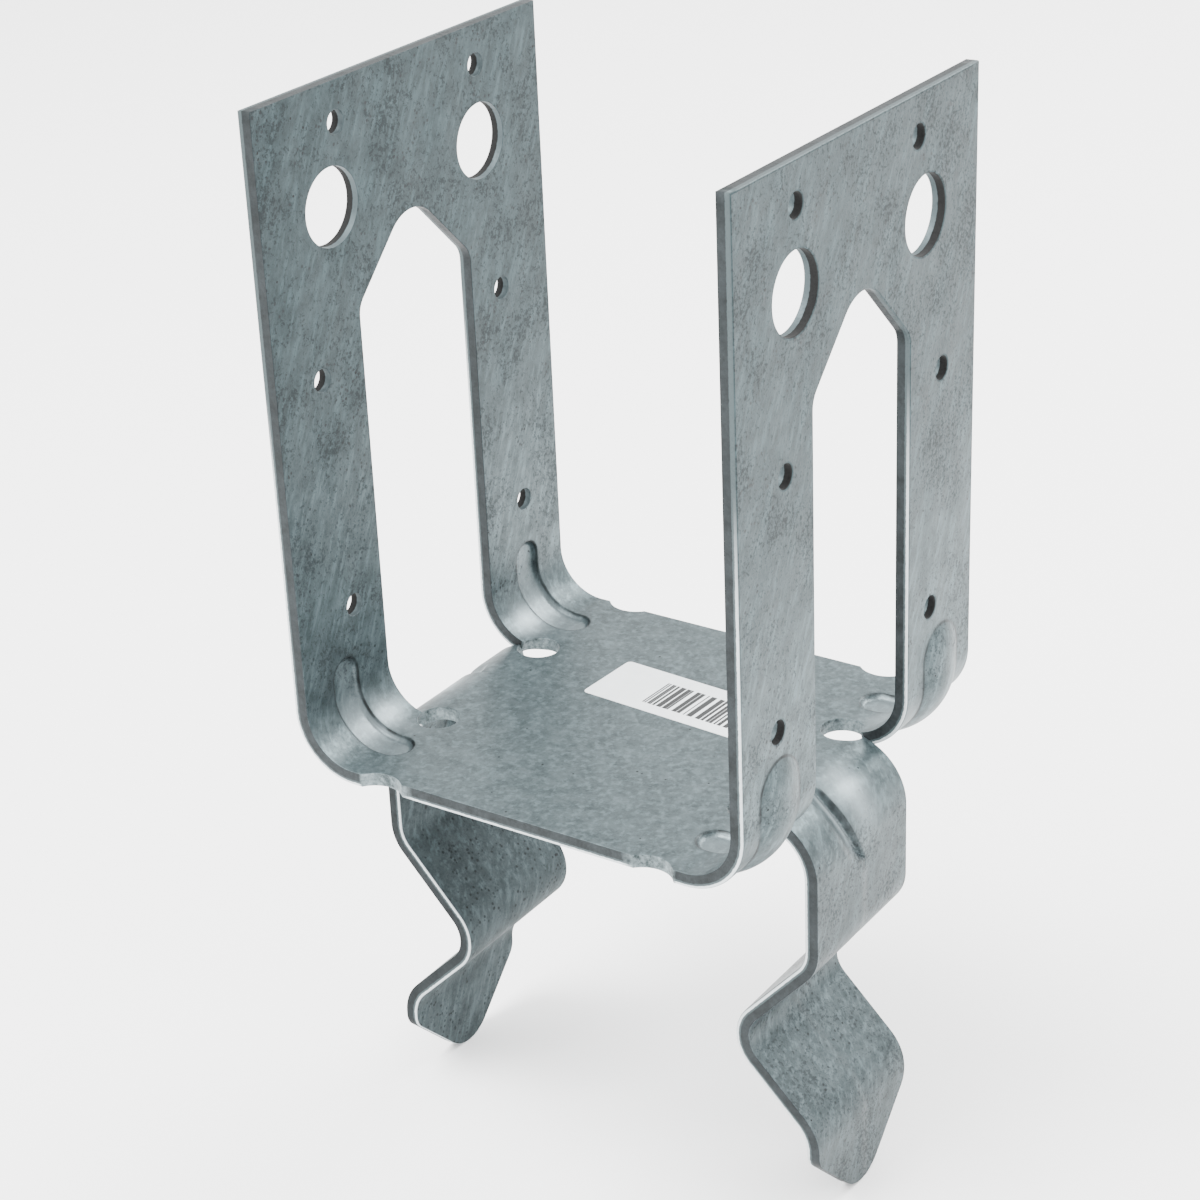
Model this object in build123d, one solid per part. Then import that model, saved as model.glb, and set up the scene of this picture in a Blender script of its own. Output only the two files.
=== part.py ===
from build123d import *
from math import cos, pi, radians, sin, sqrt, tan
import os

# Post base folded from one blank of thick galvanised sheet.
# A post stands on the base plate between two uprights. Each upright has a window, and the metal
# of that window is bent the other way, down into the wet concrete, as a foot.
# Frame: X runs across the uprights, Y along their width, Z up.
# The origin is the middle of the plate's top face.

# Sheet and folds
sheet = 2.7                  # 12 gauge sheet with its zinc
bend_radius = 9.5            # inner radius of the folds at the plate

# Uprights and plate
post_width = 90.5            # clear width between the uprights
upright_width = 82.5         # width of an upright along Y
upright_height = 122.5       # top of an upright above the plate
plate_width = 81.3           # width of the plate along Y

# Windows, from which the feet are cut
window_width = 33.4
window_shoulder = 80.4       # height where the sides meet the pointed top
window_slope = 45.0          # slope of the pointed top in degrees
point_radius = 8.0           # round of the point
shoulder_radius = 4.5        # round of the shoulders

# Reliefs at the folds
relief_radius = 4.1          # hole at each end of a foot's root
relief_inset = 1.4           # its centre, inside the start of the fold
relief_reach = 0.8           # how far its tool passes the plate's faces
notch_radius = 5.7           # shallow notch in the plate's edge beside each fold
notch_depth = 2.3
notch_inset = 6.7            # its centre, inside the start of the fold

# Bolt and nail holes
bolt_hole = 14.3
bolt_spacing = 44.0
bolt_height = 100.5
nail_hole = 4.3
nail_rows = [                # height, spacing, and shift of the middle towards +Y on the left upright
    (bolt_height + 14.5, 41.0, 1.25),
    (70.4, 54.5, -1.35),
    (24.9, 54.5, 2.1),
]

# Feet
foot_width = 33.5
waist_inner = 30.3           # half the distance between the inner faces at the waist
waist_depth = 49.5           # depth of the waist below the plate's top
upper_slope = 42.0           # slope of the run in to the waist, from upright, in degrees
lower_slope = 45.0           # slope of the run out from the waist
knee_radius = 6.3            # inner radius of the bend above the waist
waist_radius = 6.0           # inner radius of the waist
ankle_radius = 7.7           # inner radius of the bend below the waist
foot_depth = 86.8            # depth of the foot's tip below the plate's top

# Beads pressed outwards through the straps' folds
bead_offset = 29.3           # middle of a bead from the middle of the part
bead_width = 7.0             # hollow on the inner face
ridge_width = 13.0           # ridge on the outer face
bead_depth = 1.7
bead_seat = 0.4              # how far its section reaches back into the metal
bead_on_plate = 0.8          # straight run of the hollow past the fold, before its domed end
bead_on_strap = 2.4
ridge_on_plate = 0.1
ridge_on_strap = 3.8

# Darts pressed into the feet's folds from outside
dart_start = 17.0            # degrees round the fold where the groove starts
dart_below = 2.6             # length of the groove past the fold
dart_angle = 44.0            # angle of the groove
dart_shift = -2.4            # its place off the middle, on the right foot
dart_floor = 2.4             # metal under the groove
dart_ridge_angle = 78.0

# Worked out from the sizes above
mid = post_width / 2 + sheet / 2             # middle of an upright's sheet
fold = post_width / 2 - bend_radius          # where the folds start on the plate
outer_radius = bend_radius + sheet
beyond = 2 * sheet + outer_radius            # reach of a cut past the metal


def strip(corners, radii):
    """Section of the sheet along a mid line in XZ: straight runs with a round bend at each corner."""
    points = [Vector(x, 0, z) for x, z in corners]
    runs = [(b - a).normalized() for a, b in zip(points, points[1:])]
    normals = [Vector(-run.Z, 0, run.X) for run in runs]

    def face_line(side):
        offset = side * sheet / 2
        start = points[0] + normals[0] * offset
        edges = []
        for i, radius in enumerate(radii):
            a, b = runs[i], runs[i + 1]
            turn = 1 if a.X * b.Z - a.Z * b.X > 0 else -1
            reach = radius * tan(radians(a.get_angle(b)) / 2)
            centre = points[i + 1] - a * reach + normals[i] * (turn * radius)
            outward = (points[i + 1] - centre).normalized()
            first = points[i + 1] - a * reach + normals[i] * offset
            middle = centre + outward * (radius - turn * offset)
            last = points[i + 1] + b * reach + normals[i + 1] * offset
            edges.append(Edge.make_line(start, first))
            edges.append(Edge.make_three_point_arc(first, middle, last))
            start = last
        end = points[-1] + normals[-1] * offset
        edges.append(Edge.make_line(start, end))
        return edges, points[0] + normals[0] * offset, end

    left, left_start, left_end = face_line(1)
    right, right_start, right_end = face_line(-1)
    caps = [Edge.make_line(left_start, right_start), Edge.make_line(left_end, right_end)]
    return Face(Wire(left + right + caps))


def along_y(section, width):
    """Solid of a section in XZ, centred on Y."""
    return extrude(section, amount=width / 2, dir=(0, 1, 0), both=True)


def pointed(width, shoulder, foot_end):
    """Outline in Y and Z with a pointed top: straight sides from foot_end up to the shoulders."""
    half = width / 2
    top = shoulder + half * tan(radians(window_slope))
    outline = Polyline((-half, foot_end), (-half, shoulder), (0, top), (half, shoulder), (half, foot_end),
                       close=True)
    shape = make_face(outline)
    corners = shape.vertices().sort_by(Axis.Y)
    shape = fillet(corners[-1], point_radius)
    shoulders = [v for v in shape.vertices() if abs(v.Y - shoulder) < 0.01]
    return fillet(shoulders, shoulder_radius)


def point_rise(width):
    """Height of the rounded point above the shoulders."""
    slope = radians(window_slope)
    return width / 2 * tan(slope) - point_radius * (1 / cos(slope) - 1)


def bracket():
    """The plate and both uprights as one folded strip, with the windows and holes cut out."""
    corners = [(-mid, upright_height), (-mid, -sheet / 2), (mid, -sheet / 2), (mid, upright_height)]
    body = along_y(strip(corners, [bend_radius + sheet / 2] * 2), upright_width)
    outline = Plane.YZ * pointed(window_width, window_shoulder, -beyond)
    plate_block = Box(2 * fold, upright_width, 2 * (upright_height + beyond))
    for side in (-1, 1):
        body -= extrude(outline, amount=side * (mid + beyond)) - plate_block
        body -= holes(side)
    return body


def holes(side):
    """Bolt and nail holes of one upright. The part matches itself after half a turn about Z."""
    centres = [(-bolt_spacing / 2, bolt_height, bolt_hole), (bolt_spacing / 2, bolt_height, bolt_hole)]
    for height, spacing, shift in nail_rows:
        for end in (-1, 1):
            centres.append((-side * shift + end * spacing / 2, height, nail_hole))
    turned = Rot(0, 90, 0)
    return [Pos(side * mid, y, z) * turned * Cylinder(size / 2, 4 * sheet) for y, z, size in centres]


def foot():
    """The foot on +X: down from the plate, in to the waist, out again and down to its point."""
    waist_turn = radians(upper_slope + lower_slope)
    waist_corner = waist_inner + sheet / 2 - (waist_radius + sheet / 2) * (1 / cos(waist_turn / 2) - 1)
    reach = mid - waist_corner
    knee = -waist_depth + reach / tan(radians(upper_slope))
    ankle = -waist_depth - reach / tan(radians(lower_slope))
    corners = [(fold - outer_radius, -sheet / 2), (mid, -sheet / 2), (mid, knee),
               (waist_corner, -waist_depth), (mid, ankle), (mid, -foot_depth - sheet)]
    radii = [r + sheet / 2 for r in (bend_radius, knee_radius, waist_radius, ankle_radius)]
    shoulder = foot_depth - point_rise(foot_width)
    outline = Plane.YZ * (Rot(0, 0, 180) * pointed(foot_width, shoulder, -beyond))
    body = along_y(strip(corners, radii), foot_width) & extrude(outline, amount=mid + beyond)
    return dart_cut(body)


def dart_cut(body):
    """Press the dart across the foot's fold: a groove outside and a ridge inside, along one chord."""
    axis = Vector(fold, 0, -outer_radius)
    start = axis + Vector(sin(radians(dart_start)), 0, cos(radians(dart_start))) * outer_radius
    end = axis + Vector(outer_radius, 0, -dart_below)
    chord = end - start
    outward = Vector(-chord.Z, 0, chord.X).normalized()
    chord_plane = Plane(origin=start, x_dir=(0, 1, 0), z_dir=chord.normalized())
    up = 1 if chord_plane.y_dir.dot(outward) > 0 else -1
    groove = vee(dart_angle, 0, 2 * sheet, sheet / 4, up)
    ridge = vee(dart_ridge_angle, -dart_floor, 2 * sheet, sheet / 2, up)
    spread = Pos(0, dart_shift, 0)
    ridge_body = spread * extrude(chord_plane * ridge, amount=chord.length)
    within = Pos(axis.X, 0, axis.Z) * Rot(90, 0, 0) * Cylinder(outer_radius - sheet / 5, foot_width)
    groove_body = spread * Pos(start - chord / 2) * extrude(
        Plane(origin=(0, 0, 0), x_dir=(0, 1, 0), z_dir=chord.normalized()) * groove, amount=2 * chord.length)
    return body + (ridge_body & within) - groove_body


def vee(angle, low, height, radius, up):
    """Section of a dart: a vee with a rounded bottom, open upwards."""
    spread = (height - low) * tan(radians(angle / 2))
    shape = make_face(Polyline((0, up * low), (spread, up * height), (-spread, up * height), close=True))
    return fillet(shape.vertices().sort_by(Axis.X)[1], radius)


def bead(radius, width, on_plate, on_strap):
    """Bead over a strap's fold on +X, +Y: a shallow arc carried round the fold at that radius, with domed ends."""
    curve = (width ** 2 / 4 + bead_depth ** 2) / (2 * bead_depth)
    half = sqrt(curve ** 2 - (curve - bead_depth - bead_seat) ** 2)
    arc = ThreePointArc((-half, -bead_seat), (0, bead_depth), (half, -bead_seat))
    section = make_face(arc + Line((half, -bead_seat), (-half, -bead_seat)))
    half_section = section & Pos(width, 0) * Rectangle(2 * width, 4 * bead_depth)
    dome = revolve(half_section, Axis.Y, -180)
    strap_end = Plane(origin=(fold + radius, bead_offset, bend_radius), x_dir=(0, -1, 0), z_dir=(0, 0, 1))
    plate_end = Plane(origin=(fold, bead_offset, bend_radius - radius), x_dir=(0, 1, 0), z_dir=(-1, 0, 0))
    shape = revolve(strap_end * section, Axis((fold, 0, bend_radius), (0, 1, 0)), 90)
    for plane, run in ((strap_end, on_strap), (plate_end, on_plate)):
        shape += extrude(plane * section, amount=run)
        shape += plane * Pos(0, 0, run) * dome
    return shape


def reliefs(side, end):
    """Cuts at one corner of the plate: the hole at the foot's root and the notch in the edge."""
    root = Pos(side * (fold - relief_inset), end * window_width / 2, -sheet / 2)
    notch = Pos(side * (fold - notch_inset), end * (upright_width / 2 - notch_depth + notch_radius), -sheet / 2)
    return [root * Cylinder(relief_radius, sheet + 2 * relief_reach), notch * Cylinder(notch_radius, 2 * sheet)]


def post_base():
    body = bracket()
    right_foot = foot()
    body += [right_foot, Rot(0, 0, 180) * right_foot]
    hollow = bead(bend_radius, bead_width, bead_on_plate, bead_on_strap)
    ridge = bead(outer_radius, ridge_width, ridge_on_plate, ridge_on_strap)
    edge = Pos(0, 0, -sheet / 2) * (
        Box(2 * (fold - notch_inset), 2 * upright_width, 2 * sheet)
        - Box(2 * upright_width, plate_width, 2 * sheet))
    body -= edge
    for side in (-1, 1):
        for end in (-1, 1):
            flip = [Plane.YZ] * (side < 0) + [Plane.XZ] * (end < 0)
            raised, sunk = ridge, hollow
            for plane in flip:
                raised, sunk = mirror(raised, plane), mirror(sunk, plane)
            body = body + raised - sunk
            body -= reliefs(side, end)
    return body


os.makedirs("parts", exist_ok=True)
base = post_base().solid()
base.label = "post_base"
export_step(base, "parts/post_base.step")
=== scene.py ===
import math

import bpy
import numpy as np
from mathutils import Matrix, Vector
from mathutils.geometry import delaunay_2d_cdt


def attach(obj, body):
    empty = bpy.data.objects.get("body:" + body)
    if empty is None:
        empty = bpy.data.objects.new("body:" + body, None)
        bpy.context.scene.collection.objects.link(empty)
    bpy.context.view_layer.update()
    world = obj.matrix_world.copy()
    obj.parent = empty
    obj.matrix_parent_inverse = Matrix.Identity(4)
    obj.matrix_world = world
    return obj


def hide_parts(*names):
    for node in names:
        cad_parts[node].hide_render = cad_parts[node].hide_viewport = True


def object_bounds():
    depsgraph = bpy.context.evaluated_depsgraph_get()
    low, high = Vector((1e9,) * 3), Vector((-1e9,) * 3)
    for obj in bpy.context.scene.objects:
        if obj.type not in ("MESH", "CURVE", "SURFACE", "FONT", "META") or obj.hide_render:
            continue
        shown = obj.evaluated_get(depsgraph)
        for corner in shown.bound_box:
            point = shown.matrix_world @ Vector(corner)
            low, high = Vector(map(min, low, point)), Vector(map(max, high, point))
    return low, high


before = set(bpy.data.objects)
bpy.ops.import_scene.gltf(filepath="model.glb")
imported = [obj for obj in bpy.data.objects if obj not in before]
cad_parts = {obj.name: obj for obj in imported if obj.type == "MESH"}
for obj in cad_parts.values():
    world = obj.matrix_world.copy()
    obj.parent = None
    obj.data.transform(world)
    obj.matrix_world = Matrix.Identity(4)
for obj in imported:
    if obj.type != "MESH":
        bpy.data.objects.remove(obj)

cad_box = [list(corner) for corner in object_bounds()]


# The body: one blank of 2.7 mm hot-dip galvanised sheet. A punch cut the outline, the windows and
# the holes, which left a rolled-over corner on one face and a sharp one on the other. Then the
# straps were folded up over their beads, and the feet down. Sizes here are in millimetres.
sheet = 2.7
fold = 35.75                  # where the folds start, out from the middle of the plate
bend = 10.85                  # radius of the sheet's middle in the fold
arc = bend * math.pi / 2
half_width = 41.25            # half the width of an upright
half_plate = 40.65            # and of the plate
upright_flat = 113.0          # from the end of the fold to the top of the upright
upright_end = fold + arc + upright_flat
window_half, window_shoulder = 16.7, fold + arc + 70.9
foot_half = 16.75
shoulder_round, tip_round = 4.5, 8.0         # the rounds where windows and feet run to a point
shoulder_ease = shoulder_round * math.tan(math.radians(22.5))
relief_centre, relief_radius = (34.35, 16.7), 4.1
notch_centre, notch_radius = (29.05, 44.65), 5.7

# The foot's line: down, in to the waist, out again and down to the point, as (length, turn) runs.
waist = 28.867                # corner of the middle line at the waist, out from the middle
waist_drop = 49.5             # and below the plate's top face
foot_depth = 86.8             # where the foot ends, below the plate's top face
reach = fold + bend - waist
knee_round, waist_round, ankle_round = 7.65, 7.35, 9.05
into = math.radians(42)
out_of = math.radians(45)
knee_cut = knee_round * math.tan(into / 2)
waist_cut = waist_round * math.tan((into + out_of) / 2)
ankle_cut = ankle_round * math.tan(out_of / 2)
knee_drop = waist_drop - reach / math.tan(into)
foot_runs = [(arc, -math.pi / 2),
             (knee_drop - sheet / 2 - bend - knee_cut, 0),
             (knee_round * into, -into),
             (reach / math.sin(into) - knee_cut - waist_cut, 0),
             (waist_round * (into + out_of), into + out_of),
             (reach / math.sin(out_of) - waist_cut - ankle_cut, 0),
             (ankle_round * out_of, -out_of),
             (foot_depth - waist_drop - reach - ankle_cut, 0)]
strap_runs = [(arc, math.pi / 2), (upright_flat, 0)]
foot_end = fold + sum(length for length, turn in foot_runs)
foot_shoulder = foot_end - (foot_half - tip_round * (math.sqrt(2) - 1))


def folded(u, y, height, runs):
    """Point of the folded sheet: u runs along X to the fold and then along the runs, each an arc or a
    straight, and height is measured from the sheet's middle along its normal."""
    x = np.minimum(u, fold)
    z = np.full_like(u, -sheet / 2)
    heading = np.zeros_like(u)
    start, angle = fold, 0.0
    for length, turn in runs:
        along = np.clip(u - start, 0, length)
        if turn:
            curve = turn / length
            x = x + (np.sin(angle + curve * along) - math.sin(angle)) / curve
            z = z + (math.cos(angle) - np.cos(angle + curve * along)) / curve
            heading = heading + curve * along
        else:
            x = x + along * math.cos(angle)
            z = z + along * math.sin(angle)
        start += length
        angle += turn
    return np.stack([x - height * np.sin(heading), y, z + height * np.cos(heading)], axis=-1)


def pressed(depth, soft=0.25):
    """Depth of a pressed form: none where depth is below -soft, depth above soft, and a parabola between."""
    return np.where(depth > soft, depth, np.clip(depth + soft, 0, None) ** 2 / (4 * soft))


# Each strap has one bead, pressed through the fold from the inner face, with a hollow on that side and
# a wider ridge on the other.
bead_line = 29.3              # off the middle of the upright
hollow_half, hollow_depth = 3.5, 0.95
ridge_half, ridge_round = 6.5, 13.3
ridge_sunk = 11.6             # how far the centre of the ridge's round lies inside the outer face


def bead_offsets(u, y):
    """How far outside the bead's outline a point is: for the hollow in the inner face, and the ridge."""
    aside = np.abs(y) - bead_line
    hollow = np.hypot(u - np.clip(u, fold - 0.8, fold + arc + 2.4), aside) - hollow_half
    ridge = np.hypot(u - np.clip(u, fold - 0.1, fold + arc + 3.8), aside) - ridge_half
    return hollow, ridge


def strap_faces(u, y):
    """Heights of the strap's two faces: the bead is a hollow with a flat floor in the inner face, whose
    walls fall 1.2 mm in one, and a ridge of round section outside."""
    hollow, ridge = bead_offsets(u, y)
    hollow = pressed(hollow_depth - pressed(hollow_depth + 1.2 * hollow, 0.4), 0.3)
    ridge = pressed(np.sqrt(np.maximum(ridge_round ** 2 - (ridge + ridge_half) ** 2, 0.0)) - ridge_sunk)
    return sheet / 2 - hollow, -sheet / 2 - ridge


# Each foot has a dart, pressed into the outside of its fold along a chord, with a groove above and a
# ridge below. It stands off the middle of the foot, runs askew and bows a little sideways.
chord_x, chord_z = 0.8556, 0.5177            # which way the chord faces
groove_chord, ridge_chord = 9.092, 6.692     # how far it passes from the centre of the fold
groove_lead, ridge_lead = 0.4, 0.6           # how far outside the faces the two forms begin
dart_start, dart_length = 2.8, 17.5          # along the fold
dart_side, dart_run, dart_bow = 3.2, 4.0, 10.0
groove_depth, ridge_slope = 1.5, math.radians(39)


def dart(u, y):
    """Where a point lies by the dart: how far across it, how full its groove is there, and the height of
    its ridge's line. A height is the face's radius in the fold less the chord's distance, over the cosine
    of the angle between the face and the chord, and the groove fills up with it over 0.8 mm."""
    turn = np.clip((u - fold) / bend, 0, math.pi / 2)
    below = chord_z * np.maximum(u - fold - arc, 0)
    facing = chord_x * np.sin(turn) + chord_z * np.cos(turn)
    part = np.clip((u - fold - dart_start) / dart_length, 0, 1)
    across = y + dart_side - dart_run * part + dart_bow * part * (1 - part)
    groove_height = bend + sheet / 2 + groove_lead - (groove_chord + below) / facing
    ridge_height = bend - sheet / 2 + ridge_lead - (ridge_chord + below) / facing
    return across, 1 - np.exp(-np.maximum(groove_height, 0) / 0.8), ridge_height


def foot_faces(u, y):
    """Heights of the foot's two faces: the dart's groove has one steep side and one that slopes in over
    4 mm, and its ridge is a vee with a rounded top. Both fade out over 2 mm at the plate."""
    across, full, line_height = dart(u, y)
    groove = pressed(groove_depth * full - np.maximum(-0.36 * across, 2.3 * across))
    ridge = pressed(line_height - np.sqrt(across * across + 1.0) / math.tan(ridge_slope), 0.4)
    level = np.clip((u - fold) / 2, 0, 1)
    return sheet / 2 - groove * level, -sheet / 2 - ridge * level


def line(start, end, step):
    """Points from start up to, but not onto, end."""
    count = max(1, round(math.dist(start, end) / step))
    part = np.arange(count)[:, None] / count
    return np.array(start) * (1 - part) + np.array(end) * part


def turn_round(centre, radius, first, last, step=0.5):
    """Points round a circle from the first angle up to, but not onto, the last, in degrees."""
    count = max(6, round(abs(math.radians(last - first)) * radius / step))
    angle = np.radians(first + (last - first) * np.arange(count) / count)
    return np.stack([centre[0] + radius * np.cos(angle), centre[1] + radius * np.sin(angle)], axis=-1)


def there_and_back(lower):
    """A line of points below y = 0 that ends on it, and then its mirror image above, run backwards."""
    return np.concatenate([lower, lower[-2::-1] * (1, -1)])


def pointed_end(half, shoulder):
    """Half of a pointed end, from its shoulder to the middle of its point: a round, a slope at 45
    degrees and the round of the tip."""
    leg = math.sqrt(0.5)
    start = shoulder - shoulder_ease
    middle = shoulder + half - tip_round / leg
    upper = (start + shoulder_round * leg, -half + shoulder_round * (1 - leg))
    lower = (middle + tip_round * leg, -tip_round * leg)
    return np.concatenate([
        turn_round((start, -half + shoulder_round), shoulder_round, -90, -45), line(upper, lower, 1.2),
        turn_round((middle, 0), tip_round, -45, 0), [(middle + tip_round, 0)]])


# The rims of the blank: the outline, the window and the foot, each with the arcs of the relief holes
# and notches that it runs into, and then the bolt holes and nail holes of one upright.
root_half = relief_centre[1] - math.sqrt(relief_radius ** 2 - (fold - relief_centre[0]) ** 2)
root_angle = math.degrees(math.atan2(relief_centre[1] - root_half, fold - relief_centre[0]))
notch_edges = [math.degrees(math.asin((notch_centre[1] - edge) / notch_radius))
               for edge in (half_plate, half_width)]
notch_reach = [notch_radius * math.cos(math.radians(angle)) for angle in notch_edges]
outer_rim = np.concatenate([
    line((0, -half_plate), (notch_centre[0] - notch_reach[0], -half_plate), 2.5),
    turn_round((notch_centre[0], -notch_centre[1]), notch_radius, 180 - notch_edges[0], notch_edges[1]),
    line((notch_centre[0] + notch_reach[1], -half_width), (fold + arc, -half_width), 0.6),
    line((fold + arc, -half_width), (upright_end, -half_width), 3.0),
    line((upright_end, -half_width), (upright_end, 0), 3.0), [(upright_end, 0)]])
window_rim = np.concatenate([
    turn_round((relief_centre[0], -relief_centre[1]), relief_radius, root_angle, 360, 0.45),
    line((relief_centre[0] + relief_radius, -window_half), (fold + arc, -window_half), 0.6),
    line((fold + arc, -window_half), (window_shoulder - shoulder_ease, -window_half), 3.0),
    pointed_end(window_half, window_shoulder)])
foot_rim = np.concatenate([
    turn_round((relief_centre[0], -relief_centre[1]), relief_radius, root_angle, 0, 0.45),
    line((relief_centre[0] + relief_radius, -foot_half), (foot_shoulder - shoulder_ease, -foot_half), 0.6),
    pointed_end(foot_half, foot_shoulder)])
holes = [(fold + arc + height - (bend - sheet / 2), -shift + end * spacing / 2, size / 2)
         for height, spacing, shift, size in ((100.5, 44.0, 0, 14.3), (115.0, 41.0, 1.25, 4.3),
                                              (70.4, 54.5, -1.35, 4.3), (24.9, 54.5, 2.1, 4.3))
         for end in (-1, 1)]

# An open rim ends on a seam and comes with the step of the points on it. A hole's rim has no seam.
strap_rims = [(there_and_back(outer_rim), 2.5), (there_and_back(window_rim)[::-1], 1.0)]
strap_rims += [(turn_round((u, y), radius, 360, 0, 0.35 + radius / 40), None) for u, y, radius in holes]
foot_rims = [(there_and_back(foot_rim), 1.0)]


def outward(rim, closed):
    """Unit offset of each point of a rim away from the metal, with mitred corners. The rim has the metal
    on its left. An open rim ends on a seam, and its ends move along that seam: the outline meets it
    squarely, and the arcs of the relief holes at a slant."""
    step = np.roll(rim, -1, axis=0) - rim
    if not closed:
        step[-1] = step[-2]
    normal = np.stack([step[:, 1], -step[:, 0]], axis=-1) / np.linalg.norm(step, axis=1)[:, None]
    before = np.roll(normal, 1, axis=0)
    if not closed:
        before[0] = normal[0]
    move = (normal + before) / (1 + (normal * before).sum(axis=1, keepdims=True))
    if not closed:
        slant = 1.0 if rim[0, 0] < 1 else math.sin(math.radians(root_angle))
        move[[0, -1]] = np.stack([[0, 0], np.sign(move[[0, -1], 1]) / slant], axis=-1)
    return move


def inside(points, loops):
    """Even-odd test of points against closed loops."""
    odd = np.zeros(len(points), bool)
    for loop in loops:
        a, b = loop, np.roll(loop, -1, axis=0)
        for first in range(0, len(points), 4000):
            u, y = points[first:first + 4000, 0, None], points[first:first + 4000, 1, None]
            spans = (a[:, 1] > y) != (b[:, 1] > y)
            rise = np.where(b[:, 1] == a[:, 1], 1, b[:, 1] - a[:, 1])
            crosses = spans & (u < a[:, 0] + (y - a[:, 1]) / rise * (b[:, 0] - a[:, 0]))
            odd[first:first + 4000] ^= crosses.sum(axis=1) % 2 == 1
    return odd


def tiled(loops, patches):
    """Triangles of the region inside the loops. Its inner points lie on grids, one for each patch
    (first u, last u, step, first y, last y, step); a later patch clears the earlier ones under it, and
    none comes within 0.22 mm of the rim."""
    rim = np.concatenate(loops)
    inner = np.zeros((0, 2))
    for u0, u1, du, y0, y1, dy in patches:
        u, y = np.meshgrid(np.linspace(u0, u1, max(2, round((u1 - u0) / du) + 1)),
                           np.linspace(y0, y1, max(2, round((y1 - y0) / dy) + 1)))
        within = (inner[:, 0] > u0 - du / 2) & (inner[:, 0] < u1 + du / 2)
        within &= (inner[:, 1] > y0 - dy / 2) & (inner[:, 1] < y1 + dy / 2)
        inner = np.concatenate([inner[~within], np.stack([u.ravel(), y.ravel()], axis=-1)])
    inner = inner[inside(inner, loops)]
    gap = np.concatenate([np.abs(part[:, None] - rim).max(axis=2).min(axis=1)
                          for part in np.array_split(inner, 12)])
    points = np.concatenate([rim, inner[gap > 0.22]])
    edges, first = [], 0
    for loop in loops:
        index = np.arange(first, first + len(loop))
        edges.append(np.stack([index, np.roll(index, -1)], axis=-1))
        first += len(loop)
    _, _, faces, origin, _, _ = delaunay_2d_cdt(
        [Vector(point) for point in points.tolist()], np.concatenate(edges).tolist(), [], 0, 1e-7, True)
    source = np.array([ids[0] for ids in origin])
    triangles = source[np.array(faces)]
    corners = points[triangles]
    triangles = triangles[inside(corners.mean(axis=1), loops)]
    a, b, c = points[triangles].transpose(1, 0, 2)
    area = (b[:, 0] - a[:, 0]) * (c[:, 1] - a[:, 1]) - (b[:, 1] - a[:, 1]) * (c[:, 0] - a[:, 0])
    triangles[area < 0] = triangles[area < 0][:, ::-1]
    return points, triangles[np.abs(area) > 1e-9]


far_off = 9.0                 # distances from a crease are cut off here
face_inset = 0.45             # how far in from the cut edge the flat of each face starts
sharp, rolled = 0.12, 0.38    # radius of the corner by the inner face, and by the outer face
edge_profile = []             # (inset, height, turn of the normal) from the inner face round the cut edge
for turn in np.radians([0, 30, 60, 90]):
    edge_profile.append((0.05 + sharp * (1 - math.sin(turn)), sheet / 2 - sharp * (1 - math.cos(turn)), turn))
edge_profile += [(0.03, 0.35, math.pi / 2), (0.0, 0.0, math.pi / 2), (0.0, -0.55, math.pi / 2)]
for turn in np.radians([90, 112, 135, 157, 180]):
    edge_profile.append((rolled * (1 - math.sin(turn)), -sheet / 2 + rolled * (1 + math.cos(turn)), turn))


def face_normals(u, y, runs, faces, top):
    """Normal of a pressed face, from the slopes of its formula over a hundredth of a millimetre."""
    step = 0.01
    def at(a, b):
        return folded(a, b, faces(a, b)[0 if top else 1], runs)
    along = at(u + step, y) - at(u - step, y)
    across = at(u, y + step) - at(u, y - step)
    normal = np.cross(along, across) * (1 if top else -1)
    return normal / np.linalg.norm(normal, axis=1)[:, None]


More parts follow.
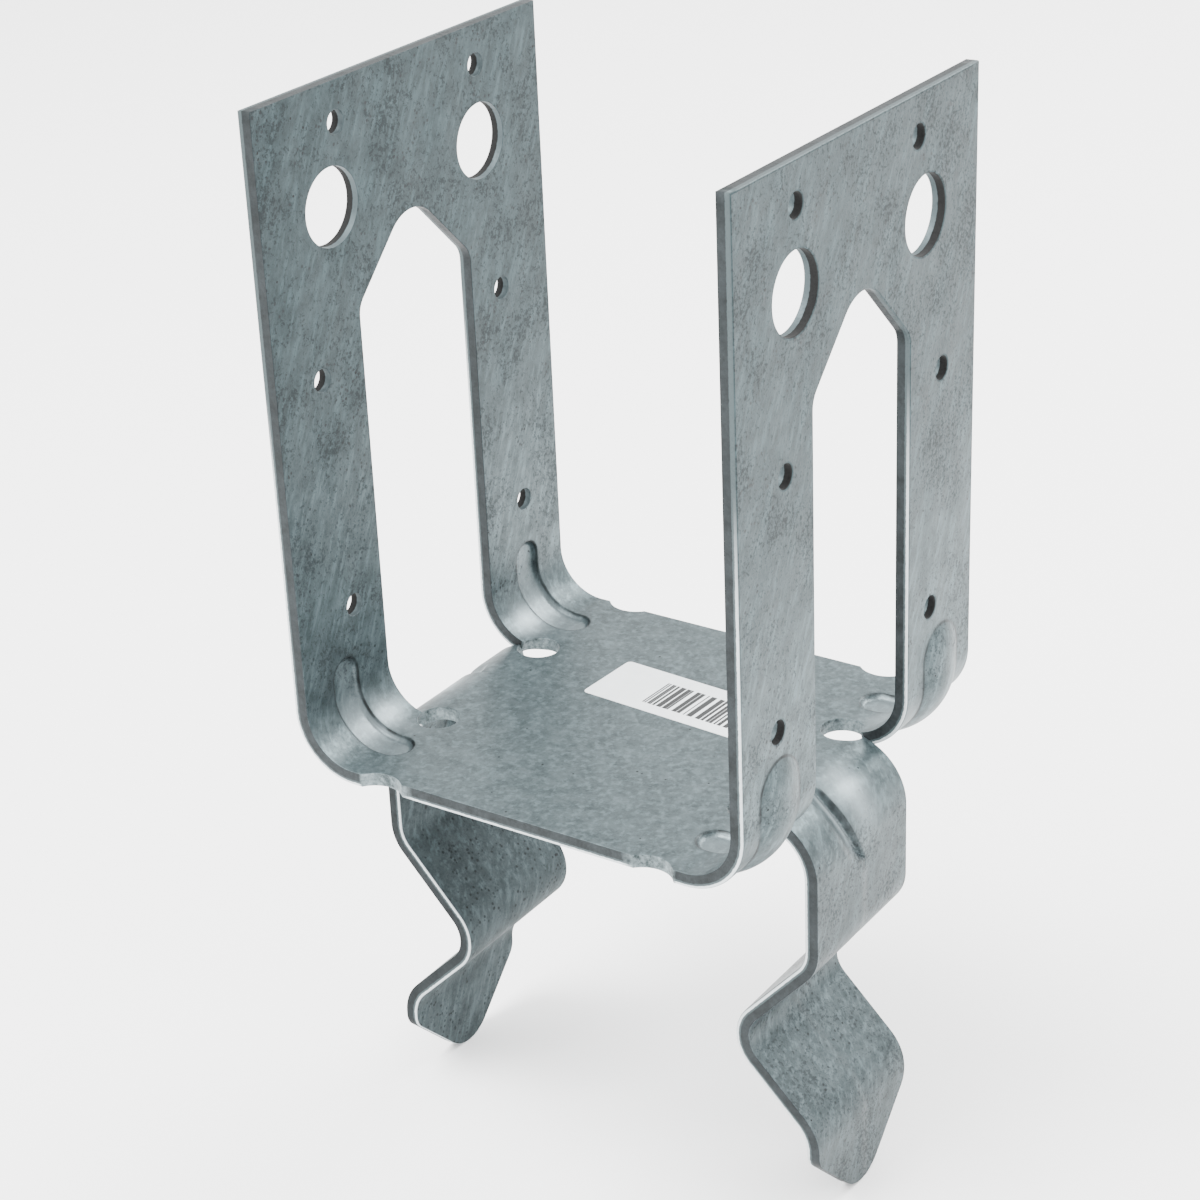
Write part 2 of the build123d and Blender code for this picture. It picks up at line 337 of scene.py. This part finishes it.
def sheet_side(rims, patches, runs, faces, marks_of):
    """One region of the folded sheet: two pressed faces and the cut edges between them. Gives points,
    normals and polygons, and six values for each point: how far round the cut edge it is, its depth, its
    distance from a crease in mm for painted shade, its tone (above zero a painted highlight, below zero
    darkening), whether it lies in a punched hole, and its share of dross."""
    moves = [outward(rim, seam is None) for rim, seam in rims]
    loops = [rim - face_inset * move for (rim, seam), move in zip(rims, moves)]
    loops = [loop if seam is None else np.concatenate([loop, line(loop[-1], loop[0], seam)[1:]])
             for (rim, seam), loop in zip(rims, loops)]
    flat, triangles = tiled(loops, patches)
    u, y = flat.T
    count = len(flat)
    points = [folded(u, y, height, runs) for height in faces(u, y)]
    normals = [face_normals(u, y, runs, faces, top) for top in (True, False)]
    rounds = [np.zeros(count), np.zeros(count)]
    depths = [np.zeros(count), np.ones(count)]
    creases, tones = (list(pair) for pair in marks_of(u, y))
    bores, drosses = [np.zeros(2 * count)], [np.zeros(2 * count)]
    polygons = [triangles.tolist(), (triangles[:, ::-1] + count).tolist()]
    total = 2 * count
    first = 0
    for (rim, seam), move, loop in zip(rims, moves, loops):
        size = len(rim)
        rows = [first + np.arange(size)]
        middle = np.zeros(size)
        from_notch = np.hypot(*(np.abs(rim) - notch_centre).T) - notch_radius
        from_relief = np.hypot(*(np.abs(rim) - relief_centre).T) - relief_radius
        gathered = (np.minimum(from_notch, from_relief) < 0.1).astype(float)
        face = face_normals(*(rim - face_inset * move).T, runs, faces, True)
        beyond, before = (folded(*(rim + side * 0.01 * move).T, middle, runs) for side in (1, -1))
        away = (beyond - before) / np.linalg.norm(beyond - before, axis=1)[:, None]
        for inset, height, turn in edge_profile:
            place = (rim - inset * move).T
            points.append(folded(*place, middle + height, runs))
            normals.append(face * math.cos(turn) + away * math.sin(turn))
            rounds.append(np.full(size, math.sin(turn)))
            depths.append(np.full(size, 0.5 - height / sheet))
            creases.append(np.full(size, far_off))
            tones.append(np.zeros(size))
            bores.append(np.full(size, float(seam is None)))
            drosses.append(gathered)
            rows.append(total + np.arange(size))
            total += size
        rows.append(count + first + np.arange(size))
        upper, lower = np.array(rows[:-1]), np.array(rows[1:])
        quads = np.stack([lower, np.roll(lower, -1, axis=1), np.roll(upper, -1, axis=1), upper], axis=-1)
        around = size if seam is None else size - 1
        polygons.append(quads[:, :around].reshape(-1, 4).tolist())
        first += len(loop)
    values = (points, normals, rounds, depths, creases, tones, bores, drosses)
    return [np.concatenate(part) for part in values], sum(polygons, [])


def spot(u, y, centre, size):
    """A soft oval spot, 1 in its middle."""
    return np.exp(-((u - centre[0]) / size[0]) ** 2 - ((y - centre[1]) / size[1]) ** 2)


def strap_marks(u, y):
    """For each face, the distance from the bead's outline, where shade is painted, and the tone: a painted
    highlight between bead and window and on the bead's floor, and darker spots beside the bead's top."""
    side = np.abs(y)
    offsets = [np.clip(offset, -far_off, far_off) for offset in bead_offsets(u, y)]
    painted_highlight = 0.65 * spot(u, side, (fold + 6.0, 22.8), (5.0, 3.6)) + np.clip(-offsets[0] / 1.5, 0, 0.35)
    darkened = spot(u, side, (fold + arc + 1.0, 34.0), (5.0, 2.6))
    darkened += 0.5 * spot(u, side, (fold + arc, 19.0), (4.0, 1.5))
    return offsets, [painted_highlight - darkened, 0 * u]


def foot_marks(u, y):
    """For each face, the distance from the line of painted shade on the dart's steep side, or round its
    ridge, and the tone: a painted highlight beside the dart and along its groove.
    """
    across, full, line_height = dart(u, y)
    groove = np.maximum(np.abs(across - 0.45) - 0.2, 0) + 2 * (1 - full)
    ridge = np.abs(across) - 2.6 + 6 * (line_height < 0)
    painted_highlight = spot(u, y, (fold + 9.0, 2.6), (5.5, 3.6))
    painted_highlight += 2.4 * full ** 2 * spot(u, across, (fold + 10, -0.85), (9, 0.8))
    return [groove, ridge], [painted_highlight, 0 * u]


# The points are 4 mm apart on the flats, closer round the folds, and 0.4 mm or less on beads and darts.
strap_patches = [(2.5, upright_end - 2.5, 4.0, -half_width + 2, half_width - 2, 4.0),
                 (fold, fold + arc, 0.7, -half_width + 1, half_width - 1, 1.5),
                 (28.0, fold + arc + 11.5, 0.42, 21.5, 37.0, 0.4),
                 (28.0, fold + arc + 11.5, 0.42, -37.0, -21.5, 0.4)]
foot_patches = [(fold + 0.7, foot_end - 1, 0.7, -foot_half + 1, foot_half - 1, 1.5),
                (fold + 1.2, fold + arc + 5, 0.45, -7.6, 4.4, 0.3),
                (fold + 1.2, fold + arc + 5, 0.4, -6.4, 2.4, 0.14)]
strap, strap_polygons = sheet_side(strap_rims, strap_patches, strap_runs, strap_faces, strap_marks)
foot, foot_polygons = sheet_side(foot_rims, foot_patches, foot_runs, foot_faces, foot_marks)
half = [np.concatenate(pair) for pair in zip(strap, foot)]
half_polygons = strap_polygons + [[i + len(strap[0]) for i in polygon] for polygon in foot_polygons]

# The part matches itself after half a turn, so the other half is the same one turned round.
half_turn = np.array([-1, -1, 1])
points, normals = (np.concatenate([part, part * half_turn]) for part in half[:2])
marks = [np.tile(part, 2) for part in half[2:]]
polygons = half_polygons + [[i + len(half[0]) for i in polygon] for polygon in half_polygons]

# Seams are closed: points at one place, to a thousandth of a millimetre, become one.
places = np.round(points * 1000).astype(np.int64)
_, kept, same = np.unique(places, axis=0, return_index=True, return_inverse=True)
same = same.ravel()
polygons = [[int(same[i]) for i in polygon] for polygon in polygons]
polygons = [polygon for polygon in polygons if len(set(polygon)) == len(polygon)]
body_mesh = bpy.data.meshes.new("post_base_sheet")
body_mesh.from_pydata(points[kept] / 1000, [], polygons)
body_mesh.update()
body_mesh.shade_smooth()
body_mesh.normals_split_custom_set_from_vertices(normals[kept])
for name, values in zip(("round", "depth", "crease", "tone", "bore", "dross"), marks):
    attribute = body_mesh.attributes.new(name, "FLOAT", "POINT")
    attribute.data.foreach_set("value", values[kept].astype(np.float32))
body = bpy.data.objects.new("post_base_sheet", body_mesh)
bpy.context.scene.collection.objects.link(body)
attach(body, "root")
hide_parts("post_base")


# Hot-dip galvanising: the zinc froze in fine blue-grey grains and has weathered dull, with dark flecks
# in clouds, a few black pits, and slanting streaks from the rolls. The cut edges have no zinc skin of
# their own: beside the outer face the punch burnished them, and the rest broke off rough.
def srgb(code):
    """Linear RGBA of an sRGB hex colour."""
    value = np.array([int(code[i:i + 2], 16) for i in (1, 3, 5)]) / 255
    linear = np.where(value > 0.04045, ((value + 0.055) / 1.055) ** 2.4, value / 12.92)
    return (*linear.tolist(), 1.0)


def add(tree, kind, settings=(), **inputs):
    """Adds a node: settings are its properties, and inputs are named, or numbered as i0, i1 and so on."""
    made = tree.nodes.new(kind)
    for key, value in dict(settings).items():
        setattr(made, key, value)
    for key, value in inputs.items():
        socket = made.inputs[int(key[1:])] if key[1:].isdigit() else made.inputs[key.replace("_", " ")]
        if isinstance(value, bpy.types.NodeSocket):
            tree.links.new(value, socket)
        else:
            socket.default_value = value
    return made


def start_material(name):
    """A new material with a shader wired to its output."""
    material = bpy.data.materials.new(name)
    material.use_nodes = True
    tree = material.node_tree
    tree.nodes.clear()
    shader = tree.nodes.new("ShaderNodeBsdfPrincipled")
    tree.links.new(shader.outputs[0], tree.nodes.new("ShaderNodeOutputMaterial").inputs[0])
    return material, tree, shader


steel, tree, shader = start_material("galvanised_steel")
place = add(tree, "ShaderNodeTexCoord").outputs["Object"]
REMAP = {"interpolation_type": "SMOOTHSTEP"}
TINT = {"data_type": "RGBA", "blend_type": "MIX"}
SHADE = {"data_type": "RGBA", "blend_type": "MULTIPLY"}

# Grains of about 0.8 mm: 1 / 0.0008 m = 1250 to the metre. Mottling of 4 mm lies under them.
grain = add(tree, "ShaderNodeTexNoise", i0=place, Scale=1250.0, Detail=3.0, Roughness=0.65).outputs[0]
mottle = add(tree, "ShaderNodeTexNoise", i0=place, Scale=250.0, Detail=6.0, Roughness=0.75).outputs[0]
grey = add(tree, "ShaderNodeMath", {"operation": "MULTIPLY_ADD"}, i0=grain, i1=0.5, i2=mottle).outputs[0]
grey = add(tree, "ShaderNodeMapRange", i0=grey, i1=0.58, i2=0.92, i3=0.0, i4=1.0).outputs[0]
zinc = add(tree, "ShaderNodeMix", TINT, i0=grey, i6=srgb("#333e40"), i7=srgb("#515d60")).outputs[2]

# Streaks 1.2 mm wide and 7 mm long, soft, lighter than the rest, 25 degrees off upright.
streak_way = add(tree, "ShaderNodeMapping", {"vector_type": "TEXTURE"}, i0=place,
                 Rotation=(math.radians(-25), 0, 0), Scale=(1.0, 1.0, 6.0)).outputs[0]
streak = add(tree, "ShaderNodeTexNoise", i0=streak_way, Scale=800.0, Detail=3.0, Roughness=0.6).outputs[0]
streak = add(tree, "ShaderNodeMapRange", REMAP, i0=streak, i1=0.45, i2=0.72, i3=0.0, i4=0.55).outputs[0]
zinc = add(tree, "ShaderNodeMix", TINT, i0=streak, i6=zinc, i7=srgb("#67777b")).outputs[2]

# Dark flecks of 0.8 mm gather in clouds of 11 mm. The plate is nearly clear of them.
axis = add(tree, "ShaderNodeSeparateXYZ", i0=place)
across, level = axis.outputs[0], axis.outputs[2]
off_plate = add(tree, "ShaderNodeMath", {"operation": "ABSOLUTE"}, i0=level).outputs[0]
off_plate = add(tree, "ShaderNodeMapRange", REMAP,
                i0=off_plate, i1=0.003, i2=0.012, i3=0.0, i4=1.0).outputs[0]
# Masks of the left side, of what lies below the plate, and of the left foot where both meet; they carry the
# painted shade below, and the left foot's flecks, specks and gloss.
leftward = add(tree, "ShaderNodeMapRange", REMAP, i0=across, i1=0.03, i2=-0.03, i3=0.0, i4=1.0).outputs[0]
downward = add(tree, "ShaderNodeMapRange", REMAP, i0=level, i1=0.0, i2=-0.02, i3=0.0, i4=1.0).outputs[0]
left_foot = add(tree, "ShaderNodeMath", {"operation": "MULTIPLY"}, i0=leftward, i1=downward).outputs[0]
cloud = add(tree, "ShaderNodeTexNoise", i0=place, Scale=90.0, Detail=3.0, Roughness=0.55).outputs[0]
fleck = add(tree, "ShaderNodeTexNoise", i0=place, Scale=1250.0, Detail=3.0, Roughness=0.75).outputs[0]
fleck = add(tree, "ShaderNodeMath", {"operation": "MULTIPLY_ADD"}, i0=cloud, i1=0.45, i2=fleck).outputs[0]
fleck = add(tree, "ShaderNodeMapRange", REMAP, i0=fleck, i1=0.705, i2=0.895, i3=0.0, i4=0.72).outputs[0]
spread = add(tree, "ShaderNodeMapRange", i0=off_plate, i1=0.0, i2=1.0, i3=0.15, i4=1.0).outputs[0]
even = add(tree, "ShaderNodeMapRange", i0=left_foot, i1=0.0, i2=1.0, i3=1.0, i4=0.55).outputs[0]
for share in (even, spread):
    fleck = add(tree, "ShaderNodeMath", {"operation": "MULTIPLY"}, i0=fleck, i1=share).outputs[0]
zinc = add(tree, "ShaderNodeMix", TINT, i0=fleck, i6=zinc, i7=srgb("#1b2123")).outputs[2]

# Painted shade: the uprights are painted much darker than the plate, more and more from 6 to 75 mm
# up, and the feet a little darker. The left side is painted a shade darker than the right, and the left foot
# a shade more.
upward = add(tree, "ShaderNodeMapRange", REMAP, i0=level, i1=0.006, i2=0.075, i3=0.0, i4=1.0).outputs[0]
for share, shade_tint in ((upward, "#a9b7b9"), (downward, "#dddddd"), (leftward, "#fcfcfc"), (left_foot, "#fafafa")):
    dim = add(tree, "ShaderNodeMix", TINT, i0=share, i6=srgb("#ffffff"), i7=srgb(shade_tint)).outputs[2]
    zinc = add(tree, "ShaderNodeMix", SHADE, i0=1.0, i6=zinc, i7=dim).outputs[2]

# Pits 0.4 mm across, one in a cell of 3.3 mm, and only where a second pattern lets them through.
pit = add(tree, "ShaderNodeTexVoronoi", i0=place, Scale=300.0).outputs["Distance"]
pit = add(tree, "ShaderNodeMapRange", REMAP, i0=pit, i1=0.05, i2=0.09, i3=1.0, i4=0.0).outputs[0]
open_pit = add(tree, "ShaderNodeTexNoise", i0=place, Scale=150.0, Detail=1.0).outputs[0]
open_pit = add(tree, "ShaderNodeMapRange", REMAP, i0=open_pit, i1=0.5, i2=0.56, i3=0.0, i4=1.0).outputs[0]
pit = add(tree, "ShaderNodeMath", {"operation": "MULTIPLY"}, i0=pit, i1=open_pit).outputs[0]
zinc = add(tree, "ShaderNodeMix", TINT, i0=pit, i6=zinc, i7=srgb("#0a0c0c")).outputs[2]

# Specks 0.5 mm across, one in a cell of 1.1 mm, in patches of 6 mm, and most of them on the left foot.
speck = add(tree, "ShaderNodeTexVoronoi", i0=place, Scale=900.0).outputs["Distance"]
speck = add(tree, "ShaderNodeMapRange", REMAP, i0=speck, i1=0.20, i2=0.36, i3=0.85, i4=0.0).outputs[0]
patchy = add(tree, "ShaderNodeTexNoise", i0=place, Scale=170.0, Detail=3.0, Roughness=0.7).outputs[0]
patchy = add(tree, "ShaderNodeMath", {"operation": "MULTIPLY_ADD"}, i0=left_foot, i1=0.06, i2=patchy).outputs[0]
patchy = add(tree, "ShaderNodeMapRange", REMAP, i0=patchy, i1=0.52, i2=0.62, i3=0.0, i4=1.0).outputs[0]
for share in (patchy, spread):
    speck = add(tree, "ShaderNodeMath", {"operation": "MULTIPLY"}, i0=speck, i1=share).outputs[0]
zinc = add(tree, "ShaderNodeMix", TINT, i0=speck, i6=zinc, i7=srgb("#15191b")).outputs[2]

# Beside the pressed forms a highlight is painted on the folds and the bead's floor, and some spots are
# darkened, both broken up by the grain.
tone = add(tree, "ShaderNodeAttribute", {"attribute_name": "tone"}).outputs["Fac"]
painted_highlight = add(tree, "ShaderNodeMath", {"operation": "MULTIPLY", "use_clamp": True}, i0=tone, i1=0.5).outputs[0]
speckled = add(tree, "ShaderNodeMapRange", i0=fleck, i1=0.0, i2=0.6, i3=1.0, i4=0.45).outputs[0]
painted_highlight = add(tree, "ShaderNodeMath", {"operation": "MULTIPLY"}, i0=painted_highlight, i1=speckled).outputs[0]
zinc = add(tree, "ShaderNodeMix", TINT, i0=painted_highlight, i6=zinc, i7=srgb("#a3b0b4")).outputs[2]
# Darker spots where the tone is below zero, beside the bead's top.
darkened = add(tree, "ShaderNodeMath", {"operation": "MULTIPLY", "use_clamp": True}, i0=tone, i1=-0.6).outputs[0]
darkened = add(tree, "ShaderNodeMath", {"operation": "MULTIPLY"}, i0=darkened, i1=grey).outputs[0]
zinc = add(tree, "ShaderNodeMix", TINT, i0=darkened, i6=zinc, i7=srgb("#15191b")).outputs[2]

# Painted crease shade: a dark line 0.6 mm wide runs along a crease, and a faint band 1 mm wide on each side
# of it.
crease = add(tree, "ShaderNodeAttribute", {"attribute_name": "crease"}).outputs["Fac"]
crease = add(tree, "ShaderNodeMath", {"operation": "ABSOLUTE"}, i0=crease).outputs[0]
uneven = add(tree, "ShaderNodeTexNoise", i0=place, Scale=260.0, Detail=3.0).outputs[0]
uneven = add(tree, "ShaderNodeMapRange", i0=uneven, i1=0.35, i2=0.65, i3=0.45, i4=0.95).outputs[0]
band = add(tree, "ShaderNodeMapRange", REMAP, i0=crease, i1=0.0, i2=1.0, i3=0.28, i4=0.0).outputs[0]
crease = add(tree, "ShaderNodeMapRange", REMAP, i0=crease, i1=0.10, i2=0.48, i3=1.0, i4=0.0).outputs[0]
crease = add(tree, "ShaderNodeMath", {"operation": "MULTIPLY"}, i0=crease, i1=uneven).outputs[0]
crease = add(tree, "ShaderNodeMath", {"operation": "MAXIMUM"}, i0=crease, i1=band).outputs[0]
zinc = add(tree, "ShaderNodeMix", TINT, i0=crease, i6=zinc, i7=srgb("#101314")).outputs[2]

# Cut edges: dark grey where the sheet broke. Beside the outer face the punch drew the zinc over: there
# the edge is lighter, has a painted highlight as a line low down on the part, and in a hole is painted black
# as shade.
edge, depth, bore, dross = (add(tree, "ShaderNodeAttribute", {"attribute_name": name}).outputs["Fac"]
                            for name in ("round", "depth", "bore", "dross"))
torn = add(tree, "ShaderNodeMath", {"operation": "MULTIPLY_ADD"}, i0=grain, i1=0.12, i2=depth).outputs[0]
drawn = add(tree, "ShaderNodeMapRange", REMAP, i0=torn, i1=0.66, i2=0.73, i3=0.0, i4=1.0).outputs[0]
# A painted highlight: a bright line near the outer face, on edges below 45 mm, fading out by 75 mm.
highlight_part = add(tree, "ShaderNodeMapRange", REMAP, i0=torn, i1=0.81, i2=0.86, i3=0.0, i4=1.0).outputs[0]
in_hole = add(tree, "ShaderNodeMapRange", REMAP, i0=torn, i1=0.46, i2=0.52, i3=0.0, i4=1.0).outputs[0]
low = add(tree, "ShaderNodeMapRange", REMAP, i0=level, i1=0.075, i2=0.045, i3=0.0, i4=1.0).outputs[0]
low = add(tree, "ShaderNodeMath", {"operation": "MULTIPLY"}, i0=low, i1=highlight_part).outputs[0]
broken = add(tree, "ShaderNodeMix", TINT, i0=grey, i6=srgb("#1c2021"), i7=srgb("#2e3335")).outputs[2]
burnish_and_highlight = add(tree, "ShaderNodeMix", TINT, i0=low, i6=srgb("#454f51"), i7=srgb("#c3cacc")).outputs[2]
cut = add(tree, "ShaderNodeMix", TINT, i0=drawn, i6=broken, i7=burnish_and_highlight).outputs[2]
# In a hole the deeper part of the cut edge is painted near black: painted shade.
hole_wall_and_shade = add(tree, "ShaderNodeMix", TINT, i0=in_hole, i6=srgb("#4a5558"), i7=srgb("#060707")).outputs[2]
cut = add(tree, "ShaderNodeMix", TINT, i0=bore, i6=cut, i7=hole_wall_and_shade).outputs[2]
# Zinc ran together and froze rough in the notches and in the relief holes.
lumps = add(tree, "ShaderNodeMix", TINT, i0=grey, i6=srgb("#2c3536"), i7=srgb("#7f8c8f")).outputs[2]
cut = add(tree, "ShaderNodeMix", TINT, i0=dross, i6=cut, i7=lumps).outputs[2]
on_edge = add(tree, "ShaderNodeMapRange", REMAP, i0=edge, i1=0.5, i2=0.9, i3=0.0, i4=1.0).outputs[0]
colour = add(tree, "ShaderNodeMix", TINT, i0=on_edge, i6=zinc, i7=cut).outputs[2]
tree.links.new(colour, shader.inputs["Base Color"])

# Weathered zinc is most of the way to a metal in its gloss, duller in its flecks, on the cut edges and
# on the left foot, and glossier under the painted highlight. The painted black shade in the holes is no
# metal, and has little gloss.
hole_shade = add(tree, "ShaderNodeMath", {"operation": "MULTIPLY"}, i0=in_hole, i1=bore).outputs[0]
metal = add(tree, "ShaderNodeMapRange", i0=hole_shade, i1=0.0, i2=1.0, i3=0.7, i4=0.0).outputs[0]
tree.links.new(metal, shader.inputs["Metallic"])
dull = add(tree, "ShaderNodeMapRange", i0=fleck, i1=0.0, i2=1.0, i3=0.44, i4=0.64).outputs[0]
for share, more in ((edge, 0.12), (hole_shade, 0.4), (left_foot, 0.2), (painted_highlight, -0.1)):
    dull = add(tree, "ShaderNodeMath", {"operation": "MULTIPLY_ADD"}, i0=share, i1=more, i2=dull).outputs[0]
tree.links.new(dull, shader.inputs["Roughness"])
relief = add(tree, "ShaderNodeBump", Strength=0.35, Distance=0.00012, Height=grain).outputs[0]
# The sheet waves gently, 14 mm from crest to crest, and less on the plate.
waves = add(tree, "ShaderNodeTexNoise", i0=place, Scale=70.0, Detail=1.5).outputs[0]
waviness = add(tree, "ShaderNodeMapRange", i0=off_plate, i1=0.0, i2=1.0, i3=0.1, i4=0.35).outputs[0]
relief = add(tree, "ShaderNodeBump", Strength=waviness, Distance=0.0012,
             Height=waves, Normal=relief).outputs[0]
tree.links.new(relief, shader.inputs["Normal"])
body_mesh.materials.append(steel)


# The sticker: a white polypropylene label 38 by 15 mm with rounded corners, stuck on the plate a little
# askew. It is blank but for a field of plain bars that stand for nothing.
label_size = np.array([38.0, 15.0])
label_place, label_turn, label_round, label_thick = (3.0, 11.8), math.radians(-3.5), 1.0, 0.12
corner_points = 20            # points round each corner

# Outline of a rectangle with round corners: a circle of the corner's radius, each quarter of it
# pushed out to its own corner. Rings of it, each with its share of the size and its height, make
# the top, the edge and the underside.
ring = np.arange(4 * corner_points)
around = (ring // corner_points) * math.pi / 2
quarter = around + math.pi / 4
around = around + (ring % corner_points) / (corner_points - 1) * (math.pi / 2 - 1e-6)
corner = np.sign(np.stack([np.cos(quarter), np.sin(quarter)], axis=-1)) * (label_size / 2 - label_round)
outline = corner + label_round * np.stack([np.cos(around), np.sin(around)], axis=-1)
turned = outline @ np.array([[math.cos(label_turn), math.sin(label_turn)],
                             [-math.sin(label_turn), math.cos(label_turn)]])
rings = [(0.0, label_thick), (0.5, label_thick), (0.985, label_thick), (1.0, 0.6 * label_thick), (1.0, 0.005)]
label_points = np.concatenate([
    np.column_stack([share * turned + label_place, np.full(len(ring), height)]) for share, height in rings])
after = np.roll(ring, -1)
quads = [np.stack([inner + ring, inner + len(ring) + ring, inner + len(ring) + after, inner + after], axis=-1)
         for inner in range(len(ring), (len(rings) - 1) * len(ring), len(ring))]
middle = np.stack([0 * ring, len(ring) + ring, len(ring) + after], axis=-1)
underside = ((len(rings) - 1) * len(ring) + ring)[::-1]
label_mesh = bpy.data.meshes.new("label")
label_mesh.from_pydata(label_points / 1000, [],
                       middle.tolist() + np.concatenate(quads).tolist() + [underside.tolist()])
label_mesh.validate()
label_mesh.update()
label = bpy.data.objects.new("label", label_mesh)
bpy.context.scene.collection.objects.link(label)
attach(label, "root")

film, tree, shader = start_material("label_film")
place = add(tree, "ShaderNodeTexCoord").outputs["Object"]
# Faint mottling of 3 mm, where the film follows the zinc under it.
mottle = add(tree, "ShaderNodeTexNoise", i0=place, Scale=330.0, Detail=3.0).outputs[0]
paper = add(tree, "ShaderNodeMix", TINT, i0=mottle, i6=srgb("#c9cfd1"), i7=srgb("#dfe3e4")).outputs[2]
# Bars of uneven width, 0.9 mm apart on average, fill a field 23.6 by 8.8 mm.
own = add(tree, "ShaderNodeMapping", {"vector_type": "TEXTURE"}, i0=place, Rotation=(0, 0, label_turn),
          Location=(label_place[0] / 1000, label_place[1] / 1000, 0)).outputs[0]
own = add(tree, "ShaderNodeSeparateXYZ", i0=own)
bars = add(tree, "ShaderNodeTexNoise", {"noise_dimensions": "1D"},
           W=own.outputs[0], Scale=1100.0, Detail=1.0).outputs[0]
bars = add(tree, "ShaderNodeMapRange", i0=bars, i1=0.46, i2=0.48, i3=0.0, i4=1.0).outputs[0]
for along, centre, half_field in ((own.outputs[0], 0.0048, 0.0118), (own.outputs[1], -0.0004, 0.0044)):
    within = add(tree, "ShaderNodeMath", {"operation": "COMPARE"},
                 i0=along, i1=centre, i2=half_field).outputs[0]
    bars = add(tree, "ShaderNodeMath", {"operation": "MULTIPLY"}, i0=bars, i1=within).outputs[0]
printed = add(tree, "ShaderNodeMix", TINT, i0=bars, i6=paper, i7=srgb("#0e1112")).outputs[2]
tree.links.new(printed, shader.inputs["Base Color"])
shader.inputs["Roughness"].default_value = 0.55
lift = add(tree, "ShaderNodeBump", Strength=0.2, Distance=0.0001, Height=mottle).outputs[0]
tree.links.new(lift, shader.inputs["Normal"])
label_mesh.materials.append(film)


# The floor is plain and pale. The points of the feet stand on it, and it reaches past the camera's
# view on every side. From here on, sizes are in metres.
floor_level = cad_box[0][2]
floor_half = 4.0
floor_corners = [(x * floor_half, y * floor_half, floor_level)
                 for x, y in ((-1, -1), (1, -1), (1, 1), (-1, 1))]
floor_mesh = bpy.data.meshes.new("floor")
floor_mesh.from_pydata(floor_corners, [], [(0, 1, 2, 3)])
floor = bpy.data.objects.new("floor", floor_mesh)
bpy.context.scene.collection.objects.link(floor)
floor_paint, tree, shader = start_material("floor_paint")
shader.inputs["Base Color"].default_value = srgb("#fafafa")
shader.inputs["Roughness"].default_value = 0.9
floor_mesh.materials.append(floor_paint)

# Soft studio light: a white room and three large panels, overhead, at the right and behind, whose
# light shines off the folds as in the photograph.
world = bpy.data.worlds.new("studio")
world.use_nodes = True
room = world.node_tree.nodes["Background"]
room.inputs["Color"].default_value = srgb("#ffffff")
room.inputs["Strength"].default_value = 2.7
bpy.context.scene.world = world


def panel(name, place, size, power):
    """A soft rectangular light that faces the middle of the plate."""
    light = bpy.data.lights.new(name, "AREA")
    light.shape = "RECTANGLE"
    light.size, light.size_y = size
    light.energy = power
    lamp = bpy.data.objects.new(name, light)
    facing = (-Vector(place)).to_track_quat("-Z", "Y")
    lamp.matrix_world = Matrix.Translation(place) @ facing.to_matrix().to_4x4()
    bpy.context.scene.collection.objects.link(lamp)


panel("overhead", (-0.4, -0.6, 1.3), (0.9, 0.9), 60)
panel("right", (1.2, 0.1, 0.6), (0.6, 0.8), 7)
panel("behind", (0.36, 1.0, 0.86), (0.8, 0.5), 26)

# The camera stands where the photograph was taken from, found by matching the holes and edges in a
# frame of 1200 pixels. It looks at a target point, with a little roll.
azimuth, elevation, roll = (math.radians(a) for a in (32.53, 26.02, -1.57))
distance = 0.52959
target = np.array([0.00877, 0.00871, 0.0241])
focal_pixels, centre_x, centre_y = 2868.77, 700, 600
frame_pixels = 1200
back = np.array([math.sin(azimuth) * math.cos(elevation),
                 -math.cos(azimuth) * math.cos(elevation),
                 math.sin(elevation)])
right = np.cross(-back, [0, 0, 1])
right /= np.linalg.norm(right)
up = np.cross(right, -back)
turned_right = math.cos(roll) * right + math.sin(roll) * up
turned_up = math.cos(roll) * up - math.sin(roll) * right
stand = target + back * distance
lens = bpy.data.cameras.new("camera")
lens.sensor_width = 36
lens.sensor_fit = "HORIZONTAL"
lens.lens = focal_pixels / frame_pixels * lens.sensor_width
lens.shift_x = (frame_pixels / 2 - centre_x) / frame_pixels
lens.shift_y = (centre_y - frame_pixels / 2) / frame_pixels
lens.clip_start = 0.01
camera = bpy.data.objects.new("camera", lens)
axes = np.array([turned_right, turned_up, back]).T
camera.matrix_world = Matrix.Translation(stand) @ Matrix(axes.tolist()).to_4x4()
bpy.context.scene.collection.objects.link(camera)
bpy.context.scene.camera = camera
